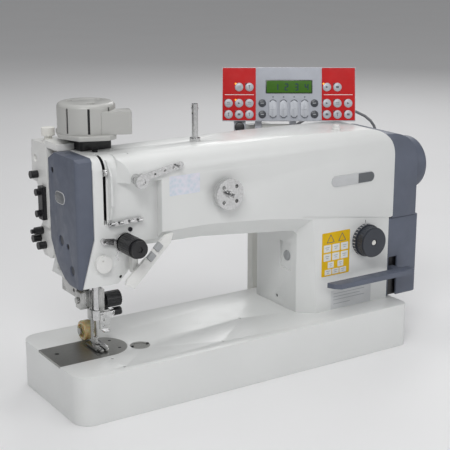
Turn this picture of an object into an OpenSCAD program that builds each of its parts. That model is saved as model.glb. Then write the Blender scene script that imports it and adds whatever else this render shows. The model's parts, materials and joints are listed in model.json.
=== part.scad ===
// Flatbed leather sewing machine head with a motor-driven puller wheel and an
// operating panel on a post. Inside the modules X runs along the bed from its
// left end, Y back from its front edge and Z up from its top face; placed()
// then puts the origin under the middle of the whole machine.

/* [Bed] */
// Length of the bed
bed_l = 518; // [514:1:522]
// Width of the bed
bed_w = 177; // [176:1:180]
// Height of the bed's top above the surface it stands on
bed_h = 62; // [58:1:70]
// Thickness of the bed's top plate
plate_t = 9; // [8:1:10]
// Thickness of the bed's skirt
skirt_t = 7; // [6:1:8]

/* [Arm] */
// Clear height under the arm
arm_clear = 136.5; // [134:0.5:138]
// Height of the arm's top at the head
arm_top = 255; // [254:1:257]
// Front face of the arm
arm_front = 36; // [34:1:37]
// Rear face of the arm
arm_rear = 140; // [139:1:141]
// Wall thickness of the arm casting
arm_wall = 8; // [7:1:9]

/* [Mechanism] */
// Height of the main shaft above the bed
shaft_z = 184; // [183:1:185]
// Radius of the main shaft
shaft_r = 7.5; // [7:0.5:8]
// Stroke of the needle bar
stroke = 32; // [30:1:32]
// Radius of the needle bar
needle_bar_r = 3.6; // [3.4:0.1:3.7]
// Radius of the presser bar
presser_bar_r = 4.7; // [4.5:0.1:4.8]
// Radial clearance of the running fits
fit = 0.05; // [0.02:0.01:0.08]

/* [Puller] */
// Radius of the puller wheel
wheel_r = 13; // [12.5:0.5:13]
// Radius of the puller motor
motor_r = 36; // [35:1:37]

/* [Operating panel] */
// Width of the panel
panel_w = 189; // [182:1:190]
// Height of the panel
panel_h = 76; // [72:1:76]
// Depth of the panel
panel_d = 25; // [22:1:25]
// Angle the panel is turned towards the operator
panel_yaw = 33; // [31:1:34]
// Angle the panel leans back
panel_lean = 15; // [13:1:16]

/* [Hidden] */
$fn = 48;
needle = [68, 86.5];
presser_y = 99;
shaft_y = needle.y;
lower_z = -34;
face_x = 50;
head_front = 48;
column_x = 360;
column_end = 514;
column_foot = 508.5;
hand_x = [561, 590];
panel_c = [411, 150, 290];
dial = [465.5, 94];
tension = [88, 147.5];
pretension = [101, 227];
winder = [228, 194];
wheel_c = [67, 118, 14.6];
lift_bar = [62, 150];
motor_c = [74, 110.5];
motor_turn = -20;
post = [371, 180];
webs = [[118, 146], [350, 366], [500, column_end]];
ribs = [98, 412];
rib_t = 10;
hinge_x = [90, 430];
hinge_z = -30;
hinge_len = 25;
pitch_upper = 24;
pitch_lower = 12;
belt_x = [442, 454];
lever_pivot = [84, 40];
take_up = [104, 208];
span_x = hand_x[1];
span_y = panel_c.y + panel_w / 2 * sin(panel_yaw)
       + (panel_h / 2 * sin(panel_lean) + panel_d * cos(panel_lean)) * cos(panel_yaw);

// ---- Placing and drawing helpers ----

module placed() translate([-span_x / 2, -span_y / 2, bed_h]) children();

// A flat outline in (Y, Z), drawn out along X
module along_x(x0, x1) translate([x0, 0, 0]) rotate([90, 0, 90]) linear_extrude(x1 - x0) children();

// A flat outline in (X, Z), drawn out along Y
module along_y(y0, y1) translate([0, y1, 0]) rotate([90, 0, 0]) linear_extrude(y1 - y0) children();

// A flat outline in (X, Y), drawn out along Z
module along_z(z0, z1) translate([0, 0, z0]) linear_extrude(z1 - z0) children();

module block(a, b) translate(a) cube(b - a);

module rod_x(p, l, r) translate(p) rotate([0, 90, 0]) cylinder(h = l, r = r);

module rod_y(p, l, r) translate(p) rotate([-90, 0, 0]) cylinder(h = l, r = r);

module rod_z(p, l, r) translate(p) cylinder(h = l, r = r);

module tube_x(p, l, r, bore) difference() {
  rod_x(p, l, r);
  rod_x(p - [1, 0, 0], l + 2, bore);
}

module tube_z(p, l, r, bore) difference() {
  rod_z(p, l, r);
  rod_z(p - [0, 0, 1], l + 2, bore);
}

module round_rect(a, b, r) {
  translate([a.x + r, a.y]) square([b.x - a.x - 2 * r, b.y - a.y]);
  translate([a.x, a.y + r]) square([b.x - a.x, b.y - a.y - 2 * r]);
  for (x = [a.x + r, b.x - r], y = [a.y + r, b.y - r]) translate([x, y]) circle(r);
}

// A bar with round ends between two points, in the plane of the outline
module link_2d(p, q, r) {
  d = q - p;
  translate(p) circle(r);
  translate(q) circle(r);
  translate(p) rotate(atan2(d.y, d.x)) translate([0, -0.985 * r]) square([norm(d), 1.97 * r]);
}

// The panel's own frame: right, back and up from the middle of its face
module panel_frame() translate(panel_c) rotate([0, 0, -panel_yaw]) rotate([-panel_lean, 0, 0]) children();

// ---- Bed and its plates ----

module bed_outline(inset) {
  round_rect([inset, inset], [bed_l - 60, bed_w - inset], 22 - inset);
  round_rect([60, inset], [bed_l - inset, bed_w - inset], 10 - inset);
}

module plate_outline(gap) {
  translate([56 + gap, 53 + gap]) square([73 - 56 - gap, 67 - 2 * gap]);
  intersection() {
    translate([73, needle.y]) circle(33.5 - gap);
    translate([56 + gap, 0]) square([100, bed_w]);
  }
}

module bed() color("whitesmoke") placed() difference() {
  union() {
    difference() {
      along_z(-bed_h, 0) bed_outline(0);
      along_z(-bed_h - 1, -plate_t) bed_outline(skirt_t);
    }
    for (x = ribs) block([x, skirt_t - 1, -52], [x + rib_t, bed_w - skirt_t + 1, 1 - plate_t]);
    for (x = hinge_x) rod_y([x, bed_w - hinge_len, hinge_z], hinge_len - 2, 11);
  }
  along_z(-3, 1) plate_outline(0);
  block([-1, 53, -3], [60, 120, 1]);
  block([10, 62, -plate_t - 1], [90, 111, 0]);
  block([385, 58, -plate_t - 1], [496, 136, 1]);
  rod_z([117.8, 65, -2], 3, 13.2);
  rod_z([117.8, 65, -plate_t - 1], 12, 9);
  for (y = [12.4, 44]) rod_z([67, y, -7], 8, 2.1);
  rod_z([215.3, 18.8, -7], 8, 2);
  rod_z([281.7, 78.6, -7], 8, 2);
  for (x = hinge_x) rod_y([x, bed_w - hinge_len - 1, hinge_z], hinge_len + 2, 5);
  for (x = ribs) rod_x([x - 1, shaft_y, lower_z], rib_t + 2, 10);
}

module needle_plate() color("darkgray") placed() difference() {
  along_z(-2.9, 0) plate_outline(0.15);
  for (x = [60.5, 70.5]) block([x, 70, -4], [x + 5, 103, 1]);
  rod_z([needle.x, needle.y, -4], 5, 1.6);
  for (y = [72, 101]) {
    rod_z([92, y, -1], 5, 2.2);
    rod_z([92, y, -4], 5, 1.3);
  }
}

module slide_plate() color("darkgray") placed() difference() {
  block([1, 53.15, -2.9], [55.85, 119.85, -0.05]);
  rod_z([14.9, 94.7, -4], 5, 3);
}

module bed_cap() color("silver") placed() difference() {
  union() {
    rod_z([117.8, 65, -2], 1.9, 13);
    rod_z([117.8, 65, -6], 5, 8.9);
  }
  rod_z([117.8, 65, -0.7], 1, 9);
}

// ---- Arm, head and column ----

module arm_outline() {
  polygon([[33, 95], [80, 95], [80 + arm_clear - 95, arm_clear], [204, arm_clear - 2],
           [column_x - 6, 119.3], [column_x, 113], [column_x, 0], [column_foot, 0],
           [column_foot, 120], [column_end, 122], [column_end, 209], [column_end - 40, 249],
           [270, arm_top], [face_x, arm_top], [face_x, 155]]);
  translate([column_end - 40, 209]) circle(40);
}

// Cross-section of the arm, with a rounded top edge front and back
module arm_section(inset) {
  front = arm_front + inset;
  rear = arm_rear - inset;
  top = arm_top - inset;
  rf = 26 - inset;
  rb = 32 - inset;
  translate([front, 90]) square([rear - front, top - 90 - rb]);
  translate([front + rf, 90]) square([rear - front - rf - rb, top - 90]);
  translate([front, 90]) square([rf * 2, top - 90 - rf]);
  translate([front + rf, top - rf]) circle(rf);
  translate([rear - rb, top - rb]) circle(rb);
}

module head_cuts() {
  block([20, 20, 90], [137, head_front, 222]);
  along_z(90, 260) polygon([[20, 20], [94, 20], [94, arm_front], [82, head_front], [20, head_front]]);
  difference() {
    block([20, 40, 236], [82, 67, 260]);
    rod_x([20, 67, 236], 70, 19);
  }
}

module arm_cavities() {
  along_y(56, 128) polygon([[20, 101], [78, 101], [112, 134], [118, 146], [118, 245], [20, 245]]);
  along_x(146, 350) intersection() {
    arm_section(arm_wall);
    translate([0, 158]) square([200, 120]);
  }
  along_x(366, 500) intersection() {
    arm_section(arm_wall);
    translate([0, 158]) square([200, 70]);
  }
  for (p = [[366, 66], [398, arm_front + 10]]) {
    block([p.x, p.y, -1], [500, 144, 142]);
    block([p.x, p.y, 141], [500, 132, 159]);
  }
}

module arm() color("whitesmoke") placed() difference() {
  union() {
    difference() {
      intersection() {
        along_y(20, 160) arm_outline();
        union() {
          along_x(30, column_end) arm_section(0);
          block([350, arm_front, -1], [column_end, 152, 150]);
        }
      }
      arm_cavities();
      hull() {
        along_y(33, 34) polygon([[100, -5], [100, 157], [207, 157], [300, 149.5], [374, 139.5],
                                 [379, 93], [385, 0], [385, -5]]);
        along_y(56, 57) polygon([[100, -5], [100, 136.3], [204, 134.2], [266, 131],
                                 [315, 125.3], [359.7, 119], [359.7, -5]]);
      }
      head_cuts();
    }
    block([58, 50, 160], [75.5, 130, 176]);
    block([58, 98, 201], [62.5, 130, 215]);
  }
  along_y(30, arm_front + 1.5) polygon([[355, 143.5], [520, 119], [520, -1], [355, -1]]);
  block([63, 30, 172], [67, 75, 260]);
  for (w = webs) rod_x([w[0] - 1, shaft_y, shaft_z], w[1] - w[0] + 2, 13);
  for (z = [90, 159]) {
    rod_z([needle.x, needle.y, z], 18, 5.8);
    rod_z([needle.x, presser_y, z], 18, 6.6);
  }
  rod_x([57, take_up.x, take_up.y], 6, 3);
  block([159, 125, 160], [331, 150, 214]);
  rod_y([winder.x, 30, winder.y], 20, 9);
  rod_y([dial.x, 30, dial.y], 20, 5);
  rod_z([212, 80, 240], 30, 4);
  rod_y([tension.x, 40, tension.y], 20, 3);
  rod_y([pretension.x, 30, pretension.y], 20, 2.5);
  rod_y([84, 40, 103], 12, 2.2);
  rod_y([59, 40, 124], 17, 4);
  rod_x([498, lever_pivot.x, lever_pivot.y], 12, 7 + fit);
  rod_x([column_x - 1, 102, 12], 6, 2.5);
  translate([column_x - 1, 70, 57]) cube([4.5, 26, 39]);
  rod_z([97, 85, 240], 20, 1.6);
  rod_z([102, 58, 240], 20, 1.6);
}

module take_up_lever() color("silver") placed() {
  rod_x([58, take_up.x, take_up.y], 9, 2.95);
  difference() {
    along_x(63.7, 66.3) union() {
      link_2d(take_up, [46, 237], 4);
      link_2d(take_up, [96, 222], 4.5);
      translate(take_up) circle(7);
    }
    rod_x([60, 46, 237], 9, 1.4);
  }
}

module take_up_guard() color("white") placed() difference() {
  along_x(69, 71.5) union() {
    link_2d([44, 232], [43, 198], 5);
    link_2d([43, 198], [47, 181], 4);
    link_2d([44, 232], [52, 246], 5);
  }
  block([60, head_front - 0.05, 160], [80, 100, 236]);
  rod_x([60, 67, 236], 20, 19.05);
}

module face_outline() polygon([[50, 94], [50, 251], [54, arm_top], [110, arm_top],
  [132, 243], [130, 146], [112, 115], [92, 99], [78, 94]]);

module face_plate() color("slategray") placed() difference() {
  intersection() {
    along_x(28.5, face_x) face_outline();
    along_y(40, 140) polygon([[28.5, 90], [32.9, 94.9], [49.9, 155], [49.9, 260], [28.5, 260]]);
    along_z(90, 260) union() {
      round_rect([28.5, 50], [60, 132], 5);
      translate([40, 50]) square([20, 82]);
    }
  }
  block([32, 55, 152], [51, 125, 247]);
  for (p = [[117, 232], [79, 142.5]]) {
    rod_x([28, p[0], p[1]], 3, 4);
    rod_x([28, p[0], p[1]], 6, 2);
  }
  rod_x([27.5, 98, 146], 3, 7);
  rod_x([27.5, 69, 114], 2.5, 6.5);
}

module rear_cover() color("whitesmoke") placed()
  block([150, arm_rear + 0.02, 151], [340, arm_rear + 3, 220]);

module head_plug() color("white") placed() difference() {
  union() {
    rod_y([59, 41, 124], 7, 10.7);
    rod_y([59, 41, 124], 15, 4);
  }
  rod_y([57, 40, 129], 3, 1);
}

// ---- End covers and rear shells ----

module cover_profile(inset) {
  round_rect([440 - inset, 60], [558 - inset, 240 - inset], 46 - inset);
}

module upper_end_cover() color("slategray") placed() difference() {
  intersection() {
    along_y(arm_front + 1, 150) cover_profile(0);
    along_x(478, 558) union() {
      arm_section(1);
      translate([60, 90]) square([90, 120]);
    }
    block([478, 0, 118.3], [560, 160, 260]);
  }
  along_y(20, 160) union() {
    translate([column_end - 40, 209]) circle(40.2);
    translate([400, 100]) square([column_end - 399.9, 109]);
    translate([400, 100]) square([column_end - 440, 160]);
  }
  along_y(arm_front + 5, 146) intersection() {
    cover_profile(4);
    translate([column_end, 110]) square([42, 96]);
  }
  along_y(arm_front + 5, 132) intersection() {
    cover_profile(4);
    translate([column_end, 200]) square([42, 50]);
  }
  rod_x([550, shaft_y, shaft_z], 12, 12);
}

module lower_end_cover() color("slategray") placed() difference() {
  along_z(0.5, 118) union() {
    round_rect([column_foot + 0.3, 38], [566, 150], 6);
    translate([column_foot + 0.3, 38]) square([20, 112]);
  }
  block([505, 42, -1], [562, 146, 114]);
  block([512, 30, -1], [527, 50, 59.5]);
}

// ---- Screws, bushes and small fixed pieces ----

// A slotted screw: a head of radius r on top of a shank, axis up from p
module screw(r, head, shank) difference() {
  union() {
    cylinder(h = head, r = r);
    translate([0, 0, -shank]) cylinder(h = shank + 0.3, r = r * 0.55);
  }
  translate([-r - 1, -r * 0.14, head * 0.5]) cube([2 * r + 2, r * 0.28, head]);
}

module screws() color("dimgray") placed() {
  for (p = [[117, 232], [79, 142.5]]) translate([31, p[0], p[1]]) rotate([0, -90, 0]) screw(3.4, 1.6, 2);
  for (y = [72, 101]) translate([92, y, -1]) screw(2.1, 0.9, 1.8);
  for (x = [106.8, 128.8]) translate([x, 65, -0.1]) screw(1.8, 0.9, 0);
  for (x = [158, 332], z = [158, 213])
    translate([x, arm_rear + 3, z]) rotate([-90, 0, 0]) screw(3.2, 2, 0);
  translate([72, 85, arm_top]) screw(3.5, 2.5, 0);
  translate([98, head_front, 162]) rotate([90, 0, 0]) screw(2.8, 2, 0);
  for (y = [60, 128]) translate([558, y, 135]) rotate([0, 90, 0]) screw(3, 2, 0);
  for (y = [60, 128], z = [20, 100]) translate([566, y, z]) rotate([0, 90, 0]) screw(3, 2, 0);
}

module bearing_bushes() color("peru") placed() {
  for (w = webs) tube_x([w[0], shaft_y, shaft_z], w[1] - w[0], 13, shaft_r + fit);
  for (x = ribs) tube_x([x, shaft_y, lower_z], rib_t, 10, 6 + fit);
  for (z = [92, 160]) {
    tube_z([needle.x, needle.y, z], 16, 5.8, needle_bar_r + fit);
    tube_z([needle.x, presser_y, z], 16, 6.6, presser_bar_r + fit);
  }
}

module tension_post() color("silver") placed() {
  rod_y([tension.x, 6, tension.y], 48, 2.9);
  rod_y([tension.x, 45, tension.y], 3, 9);
  for (y = [40.7, 42.7]) difference() {
    rod_y([tension.x, y, tension.y], 1.2, 13);
    rod_y([tension.x, y - 1, tension.y], 4, 2.9);
  }
  rod_y([pretension.x, 20, pretension.y], 24, 2.4);
  rod_y([pretension.x, 31, pretension.y], 5, 6.5);
  for (y = [26.4, 28.6]) rod_y([pretension.x, y, pretension.y], 1.2, 7.5);
}

module thread_guides() color("silver") placed() {
  difference() {
    union() {
      along_y(44, 46) link_2d([70, 172], [112, 174], 3);
      for (x = [76, 90, 104]) rod_y([x, 46, 172.5], 2, 2.5);
      for (x = [72, 84, 98, 110]) rod_x([x - 2.5, 43, 173.5], 5, 2.6);
    }
    for (x = [72, 84, 98, 110]) rod_x([x - 4, 43, 173.5], 8, 1.4);
  }
  difference() {
    union() {
      along_y(32, 34) link_2d([113, 228], [162, 238], 4.2);
      rod_y([119, 34, 229], 2, 3);
      rod_y([158, 25, 237.3], 7.5, 2);
    }
    for (x = [126, 140, 152]) rod_y([x, 30, 228 + (x - 113) * 0.204], 6, 1.6);
  }
  difference() {
    along_y(44, head_front) link_2d([61, 152], [74, 150], 4);
    rod_y([61, 43, 152], 6, 1.8);
  }
}

module thread_post() color("silver") placed() difference() {
  union() {
    rod_z([212, 80, 244], 59, 4);
    rod_z([212, 80, arm_top], 4, 7);
    rod_z([212, 80, 296], 2, 4.6);
  }
  rod_x([200, 80, 300], 24, 1.3);
  rod_x([200, 80, 291], 24, 1.3);
}

module keypad_housing() color("white") placed() difference() {
  union() {
    along_y(31, 35) polygon([[82, 97], [94, 90], [146, 141], [150, 153], [139, 152], [84, 103]]);
    along_y(35, 38) polygon([[86, 97], [94, 93], [143, 141], [145, 150], [139, 149], [87, 101]]);
    along_y(38, head_front) link_2d([100, 110], [99, 126], 4);
  }
  for (p = [[127, 132], [117, 121]]) translate([p.x, 28, p.y]) rotate([0, -45, 0]) cube([10.6, 8, 8.6]);
}

module key_cap(p) translate([p.x, 28.6, p.y]) rotate([0, -45, 0])
  translate([0.3, 0, 0.3]) cube([10, 4.6, 8]);

module start_button() color("lightgray") placed() key_cap([127, 132]);

module tack_button() color("lightgray") placed() key_cap([117, 121]);

module dial_ring() color("dimgray") placed() difference() {
  rod_y([dial.x, 31, dial.y], 6.5, 23);
  rod_y([dial.x, 30, dial.y], 9, 5);
}

module stitch_dial() color("dimgray") placed() difference() {
  union() {
    rod_y([dial.x, 19, dial.y], 11.7, 21.3);
    rod_y([dial.x, 17, dial.y], 3, 20.4);
    rod_y([dial.x, 28, dial.y], 22, 4.95);
  }
  rod_y([dial.x, 16, dial.y], 4, 4.5);
  for (k = [0:35]) translate([dial.x, 0, dial.y]) rotate([0, k * 10, 0]) rod_y([21.6, 20.5, 0], 12, 0.8);
}

module reverse_lever() color("dimgray") placed() {
  along_z(39, 46) polygon([[403, 8.5], [534, 8.5], [538, 12], [538, 26], [391, 26], [395, 15]]);
  block([514.5, 25, 37], [524.5, 84, 45]);
  rod_x([480, lever_pivot.x, lever_pivot.y], 56, 7);
}

module timing_belt() color("black") placed() difference() {
  union() {
    rod_x([belt_x[0], shaft_y, shaft_z], belt_x[1] - belt_x[0], pitch_upper + 2.2);
    rod_x([belt_x[0], shaft_y, lower_z], belt_x[1] - belt_x[0], pitch_lower + 2.2);
    belt_span(0.985 * (pitch_upper + 2.2), 0.985 * (pitch_lower + 2.2), 0);
  }
  rod_x([belt_x[0] - 1, shaft_y, shaft_z], 20, pitch_upper + 0.2);
  rod_x([belt_x[0] - 1, shaft_y, lower_z], 20, pitch_lower + 0.2);
  belt_span(0.985 * (pitch_upper + 0.2), 0.985 * (pitch_lower + 0.2), 1);
}

// The tapering part of the belt between the two pulleys
module belt_span(ru, rl, extra) {
  a = asin((ru - rl) / (shaft_z - lower_z));
  along_x(belt_x[0] - extra, belt_x[1] + extra) polygon([
    [shaft_y - ru * cos(a), shaft_z + ru * sin(-a)], [shaft_y + ru * cos(a), shaft_z + ru * sin(-a)],
    [shaft_y + rl * cos(a), lower_z + rl * sin(-a)], [shaft_y - rl * cos(a), lower_z + rl * sin(-a)]]);
}

module motor_stator() color("dimgray") placed() tube_x([516, shaft_y, shaft_z], 28, 33, 22);

// ---- Main shaft and needle drive ----

module upper_shaft() color("silver") placed() {
  rod_x([83, shaft_y, shaft_z], hand_x[1] - 8 - 83, shaft_r);
  rod_x([519, shaft_y, shaft_z], 28, 21);
}

module upper_pulley() color("darkgray") placed() difference() {
  union() {
    rod_x([440, shaft_y, shaft_z], 16, pitch_upper);
    for (x = [439, 455]) rod_x([x, shaft_y, shaft_z], 2, pitch_upper + 3.5);
  }
  rod_x([430, shaft_y, shaft_z], 40, shaft_r);
}

module crank() color("darkgray") placed() difference() {
  union() {
    rod_x([83, shaft_y, shaft_z], 12, 15);
    along_x(83, 95) link_2d([shaft_y, shaft_z], [shaft_y, shaft_z + stroke / 2], 9);
    along_x(83, 95) intersection() {
      translate([shaft_y, shaft_z]) circle(27);
      translate([shaft_y - 30, shaft_z - 30]) square([60, 22]);
    }
  }
  rod_x([80, shaft_y, shaft_z], 20, shaft_r);
}

module handwheel() color("slategray") placed() translate([hand_x[0], shaft_y, shaft_z])
  rotate([0, 90, 0]) difference() {
    rotate_extrude($fn = 96) {
      square([39, 20]);
      square([30, 29]);
      translate([30, 20]) circle(9);
    }
    translate([0, 0, 26]) cylinder(h = 5, r = 22);
    translate([0, 0, -1]) cylinder(h = 22, r = shaft_r);
  }

module needle_bar() color("silver") placed() {
  rod_z([needle.x, needle.y, 40], 148, needle_bar_r);
  difference() {
    union() {
      rod_z([needle.x, needle.y, 38], 13, 5);
      rod_x([needle.x, needle.y, 45], 9, 2.2);
    }
    rod_z([needle.x, needle.y, 37], 6, 1.2);
  }
  block([63, 80.5, 142], [72.2, 91.5, 156]);
  rod_x([70, needle.y, 149], 12.5, 3);
}

module needle_piece() color("silver") placed() {
  rod_z([needle.x, needle.y, 32], 7.98, 1.15);
  translate([needle.x, needle.y, 13]) cylinder(h = 3, r1 = 0.1, r2 = 0.75, $fn = 24);
  rod_z([needle.x, needle.y, 16], 17, 0.75);
}

module connecting_rod() color("silver") placed() difference() {
  union() {
    along_x(76, 82) link_2d([needle.y, 149], [needle.y, shaft_z + stroke / 2], 4.5);
    rod_x([76, needle.y, shaft_z + stroke / 2], 6, 8);
    rod_x([76, needle.y, 149], 6, 7);
    rod_x([76, needle.y, shaft_z + stroke / 2], 6.6, 4);
  }
  rod_x([75, needle.y, 149], 8, 3);
}

// ---- Presser bar and what it carries ----

module presser_bar() color("silver") placed() {
  rod_z([needle.x, presser_y, 38], 147, presser_bar_r);
  difference() {
    block([61, 92.5, 124], [75, 110, 138]);
    rod_z([needle.x, needle.y, 120], 22, 4.4);
  }
}

module presser_spring() color("gray") placed() {
  coil_r = 6.2;
  wire_r = 0.8;
  turns = 5;
  steps = 14;
  rise = 17.4;
  rings = [for (k = [0:turns * steps]) let (a = k * 360 / steps, z = rise * k / (turns * steps))
    [for (j = [0:5]) let (b = j * 60, q = coil_r + wire_r * cos(b))
      [q * cos(a), q * sin(a), z + wire_r * sin(b)]]];
  n = turns * steps + 1;
  translate([needle.x, presser_y, 139.1]) polyhedron(
    points = [for (ring = rings) each ring],
    faces = concat([[5, 4, 3, 2, 1, 0]], [[for (j = [0:5]) (n - 1) * 6 + j]],
      [for (i = [0:n - 2], j = [0:5]) let (m = (j + 1) % 6)
        [i * 6 + j, i * 6 + m, (i + 1) * 6 + m, (i + 1) * 6 + j]]));
}

module presser_foot() color("silver") placed() difference() {
  union() {
    block([63, 92.8, 36], [73, 103, 50]);
    block([64, 92.8, 3], [72, 98, 37]);
    rod_x([72, 97.5, 43], 3.5, 2.6);
    along_z(1.4, 4) difference() {
      union() {
        translate([59, 74]) square([18, 30]);
        translate([62, 66]) square([12, 10]);
      }
      translate([needle.x, needle.y]) circle(3);
      translate([66.6, 60]) square([2.8, 22]);
    }
  }
  block([66.3, 88, 12], [69.7, 99, 34]);
  rod_z([needle.x, presser_y, 38], 60, presser_bar_r);
}

module guide_block() color("gainsboro") placed() difference() {
  union() {
    block([64, 92, 50.5], [82.5, 110, 75]);
    block([51, 97, 51], [65, 111, 73]);
    rod_x([48, 104, 62], 4, 4.2);
    block([76.5, 93, 34], [82.5, 104, 51.5]);
    block([76.5, 93, 34], [90, 104, 46.2]);
  }
  rod_z([needle.x, needle.y, 40], 60, 6);
  rod_z([needle.x, presser_y, 40], 60, presser_bar_r);
  rod_x([78, presser_y, 57.5], 8, 3);
  rod_x([76, presser_y - 1, 40], 20, 2);
}

module guide_knob() color("black") placed() {
  rod_x([79, presser_y, 57.5], 7, 2.95);
  rod_x([82.8, presser_y, 57.5], 3, 7);
  difference() {
    rod_x([85, presser_y, 57.5], 21, 10.5);
    for (k = [0:17]) translate([0, presser_y, 57.5]) rotate([k * 20, 0, 0]) rod_x([88, 0, 11], 20, 1);
  }
}

module edge_guide() color("silver") placed() {
  rod_x([77, presser_y - 1, 40], 14, 1.95);
  rod_x([91, presser_y - 1, 40], 6, 3);
  rod_x([96.5, presser_y - 1, 40], 11.5, 5.2);
  block([90.3, 91, 36], [92.5, 100, 44]);
  block([78.5, 86, 18], [87, 92, 19.6]);
  difference() {
    along_y(91, 92.6) polygon([[74.5, 44], [92.5, 44], [92.5, 36], [88.5, 32], [88.5, 22],
                               [85, 18], [78, 18], [74.5, 22]]);
    for (z = [26, 34]) rod_y([80, 90, z], 4, 1.5);
  }
}

// ---- Hook, bobbin and feed ----

module lower_shaft() color("silver") placed() rod_x([66, shaft_y, lower_z], 392, 6);

module lower_pulley() color("darkgray") placed() difference() {
  union() {
    rod_x([440, shaft_y, lower_z], 16, pitch_lower);
    for (x = [439, 455]) rod_x([x, shaft_y, lower_z], 2, pitch_lower + 3.5);
  }
  rod_x([430, shaft_y, lower_z], 40, 6);
}

module hook() color("silver") placed() difference() {
  union() {
    rod_x([42, shaft_y, lower_z], 23.2, 18);
    rod_x([64, shaft_y, lower_z], 15, 9);
  }
  rod_x([40, shaft_y, lower_z], 22, 15.6);
  rod_x([66, shaft_y, lower_z], 20, 6);
  along_x(55, 66) polygon([[shaft_y, lower_z + 16], [shaft_y + 30, lower_z + 16],
                           [shaft_y + 30, lower_z + 8]]);
}

module bobbin_case() color("silver") placed() difference() {
  rod_x([40, shaft_y, lower_z], 21, 15);
  rod_x([42, shaft_y, lower_z], 20, 13.4);
  rod_x([38, shaft_y, lower_z], 6, 4);
  block([45, shaft_y - 3, lower_z + 10], [70, shaft_y + 3, lower_z + 20]);
}

module bobbin() color("gainsboro") placed() difference() {
  union() {
    for (x = [43, 58]) rod_x([x, shaft_y, lower_z], 1.2, 13);
    rod_x([43, shaft_y, lower_z], 16, 8);
  }
  rod_x([42, shaft_y, lower_z], 20, 3);
}

module feed_bar() color("darkgray") placed() difference() {
  union() {
    block([76, 50, -17], [88, 126, -10.5]);
    block([60, 72, -13], [78, 102, -10.5]);
    rod_x([76, 126, -14.5], 12, 5);
  }
  rod_x([70, 126, -14.5], 30, 2.5);
  block([65.5, 79, -20], [71, 94, 0]);
}

module feed_dog() color("gray") placed() difference() {
  union() {
    block([60.8, 74, -10.5], [75.2, 99, -6]);
    for (x = [61, 71]) along_x(x, x + 4) polygon(concat([[99, -6.5], [74, -6.5]],
      [for (k = [0:9], s = [0, 1]) [74 + 2.5 * k + 1.8 * s, s == 0 ? -0.4 : 0.9]], [[99, -0.4]]));
  }
  block([65.5, 79, -12], [71, 94, 0]);
}

// ---- Controls on the front ----

module tension_knob() color("black") placed() difference() {
  union() {
    rod_y([tension.x, 10, tension.y], 28, 12.5);
    rod_y([tension.x, 4, tension.y], 8, 10.7);
  }
  rod_y([tension.x, 5.5, tension.y], 40, 2.95);
  rod_y([tension.x, 3, tension.y], 2.4, 4, $fn = 6);
  for (k = [0:23]) translate([tension.x, 0, tension.y]) rotate([0, k * 15, 0]) rod_y([13, 12, 0], 28, 0.9);
}

module check_spring() color("silver") placed() {
  difference() {
    rod_y([tension.x, 39.2, tension.y], 0.7, 7);
    rod_y([tension.x, 36, tension.y], 10, 3.2);
  }
  along_y(39.2, 39.9) union() {
    link_2d([tension.x - 6, tension.y - 2], [tension.x - 14, tension.y - 14], 0.8);
    link_2d([tension.x - 14, tension.y - 14], [tension.x - 10, tension.y - 20], 0.8);
  }
}

module pretension_knob() color("silver") placed() difference() {
  rod_y([pretension.x, 17.5, pretension.y], 7, 9);
  rod_y([pretension.x, 19.5, pretension.y], 8, 2.45);
  rod_y([pretension.x, 16.5, pretension.y], 2, 4);
  for (k = [0:23])
    translate([pretension.x, 0, pretension.y]) rotate([0, k * 15, 0]) rod_y([9.3, 16, 0], 10, 0.6);
}

module winder_spindle() color("silver") placed() difference() {
  union() {
    rod_y([winder.x, 21, winder.y], 8, 20);
    rod_y([winder.x, 29, winder.y], 5.5, 11);
    rod_y([winder.x, 8, winder.y], 60, 3);
    rod_y([winder.x, 34, winder.y], 10, 8.95);
    rod_y([winder.x, 16, winder.y], 5, 5);
  }
  for (k = [0:3])
    translate([winder.x, 0, winder.y]) rotate([0, k * 90 + 45, 0]) rod_y([13.5, 18, 0], 12, 2.5);
}

// ---- Puller ----

module puller_bracket() color("whitesmoke") placed() difference() {
  union() {
    block([44, 141, 112], [76, 160, 250]);
    along_x(34, 42) polygon([[144, 258], [186, 258], [192, 246], [192, 205], [180, 205], [172, 196],
                             [166, 196], [166, 150], [144, 150]]);
    block([34, 146, 248], [74, 190, 258]);
    block([34, 112, 255.1], [57, 150, 263.5]);
    block([40, 145, 240], [50, 170, 256]);
    along_x(38, 58) polygon([[144, 150], [176, 150], [188, 136], [188, 122], [172, 108],
                             [150, 108], [144, 116]]);
    block([34, 141, 152], [46, 158, 200]);
    rod_z([46, 164, 250], 10, 8);
    for (z = [125, 215]) rod_y([66, 140.02, z], 1.2, 4);
  }
  rod_z([lift_bar.x, lift_bar.y, 100], 170, 6 + fit);
  rod_z([46, 164, 240], 30, 3.5 + fit);
  rod_x([32, 180, 235], 12, 5);
}

module puller_fittings() color("black") placed() {
  block([28, 150, 160], [34, 163, 203]);
  for (z = [168, 196]) rod_x([22, 157, z], 6, 4.5);
  rod_x([24, 176, 215], 10, 5);
  for (p = [[176, 140], [184, 128], [168, 122]]) rod_x([27, p.x, p.y], 11, 5);
  rod_x([22, 176, 140], 5, 3);
}

module motor_spacer() color("black") placed() along_z(arm_top, 271) round_rect([58, 95], [101, 143.8], 4);

module motor_flange() color("lightgray") placed() translate([motor_c.x, motor_c.y, 271])
  rotate(motor_turn) linear_extrude(6) polygon([[-36, 28], [-36, -14], [-14, -41], [23, -41],
                                                [33, -31], [33, 28], [24, 36], [-27, 36]]);

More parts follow.
